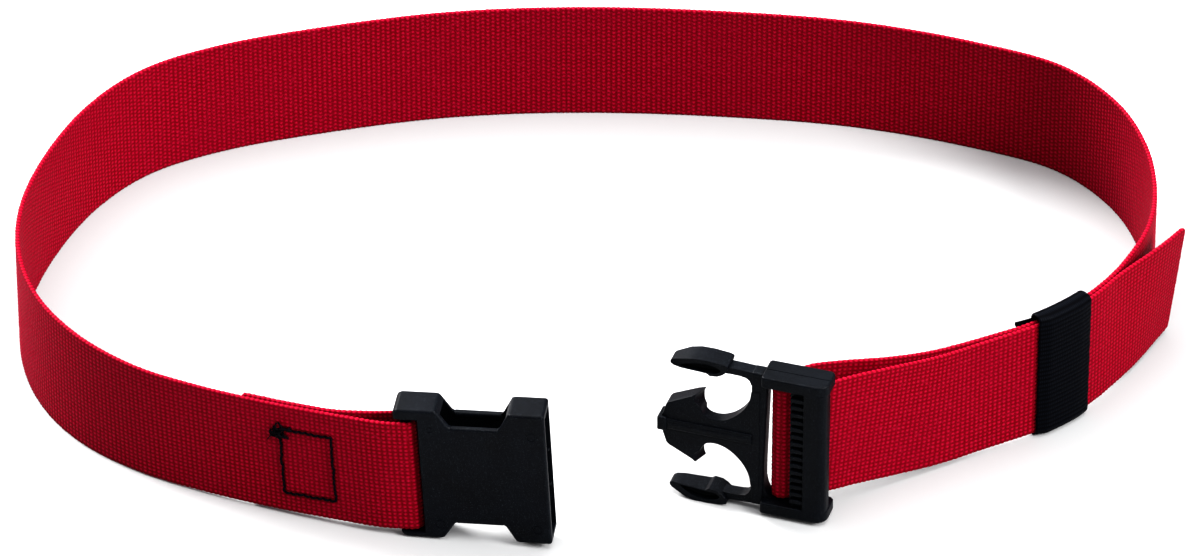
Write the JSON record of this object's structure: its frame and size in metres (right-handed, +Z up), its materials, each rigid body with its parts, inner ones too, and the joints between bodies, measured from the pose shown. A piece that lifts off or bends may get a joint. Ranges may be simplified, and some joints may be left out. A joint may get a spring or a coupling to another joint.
{
  "type": "luggage strap",
  "caption": "Webbing luggage strap standing as an open loop, with a side-release buckle, ladder-lock adjuster and keeper loop.",
  "frame": {"origin": "centre of the footprint on the floor", "axes": "+X along the loop's long side, buckle in front on -Y, +Z up across the webbing's width"},
  "size_m": [0.4478, 0.2952, 0.0654],
  "materials": {
    "red_webbing": "plain-woven polyester webbing, matt with a slight sheen",
    "black_thread": "black sewing thread",
    "black_ribbon": "ribbed black ribbon",
    "black_plastic": "injection-moulded acetal, finely textured"
  },
  "bodies": {
    "back": {"strap_back": "red_webbing"},
    "left_run": {"strap_left_run": "red_webbing", "strap_sewn_end": "red_webbing", "box_stitch_front": "black_thread", "box_stitch_back": "black_thread"},
    "socket": {"socket_shell": "black_plastic"},
    "right_run": {"strap_right_run": "red_webbing", "strap_adjuster_loop": "red_webbing", "strap_outer_run": "red_webbing", "strap_tail": "red_webbing"},
    "plug": {"plug_frame": "black_plastic"},
    "prong_upper": {"plug_prong_upper": "black_plastic"},
    "prong_lower": {"plug_prong_lower": "black_plastic"},
    "keeper": {"keeper_band": "black_ribbon", "keeper_lap": "black_ribbon", "keeper_tack_low": "black_thread", "keeper_tack_high": "black_thread"}
  },
  "joints": [
    {"name": "left_flex", "type": "hinge", "parent": "back", "child": "left_run", "pos_m": [-0.22304, -0.0054, 0.025], "axis": [0, 0, 1], "range_deg": [-5, 5], "stiffness_Nm_per_rad": 0.03},
    {"name": "right_flex", "type": "hinge", "parent": "back", "child": "right_run", "pos_m": [0.21313, 0.02242, 0.025], "axis": [0, 0, -1], "range_deg": [-5, 5], "stiffness_Nm_per_rad": 0.03},
    {"name": "socket_swing", "type": "hinge", "parent": "left_run", "child": "socket", "pos_m": [-0.07116, -0.13425, 0.03053], "axis": [-0.0491, -0.0373, 0.9981], "range_deg": [-15, 15]},
    {"name": "plug_swing", "type": "hinge", "parent": "right_run", "child": "plug", "pos_m": [0.06803, -0.11919, 0.03275], "axis": [0, 0, 1], "range_deg": [-20, 8]},
    {"name": "prong_upper_flex", "type": "hinge", "parent": "plug", "child": "prong_upper", "pos_m": [0.05639, -0.11711, 0.06065], "axis": [-0.3156, -0.9489, 0], "range_deg": [0, 9], "stiffness_Nm_per_rad": 1.6},
    {"name": "prong_lower_flex", "type": "hinge", "parent": "plug", "child": "prong_lower", "pos_m": [0.05639, -0.11711, 0.00485], "axis": [0.3156, 0.9489, 0], "range_deg": [0, 9], "stiffness_Nm_per_rad": 1.6},
    {"name": "keeper_slide", "type": "hinge", "parent": "right_run", "child": "keeper", "pos_m": [0.10555, 0.01667, 0.0277], "axis": [0, 0, 1], "range_deg": [-3.5, 3.5]}
  ]
}
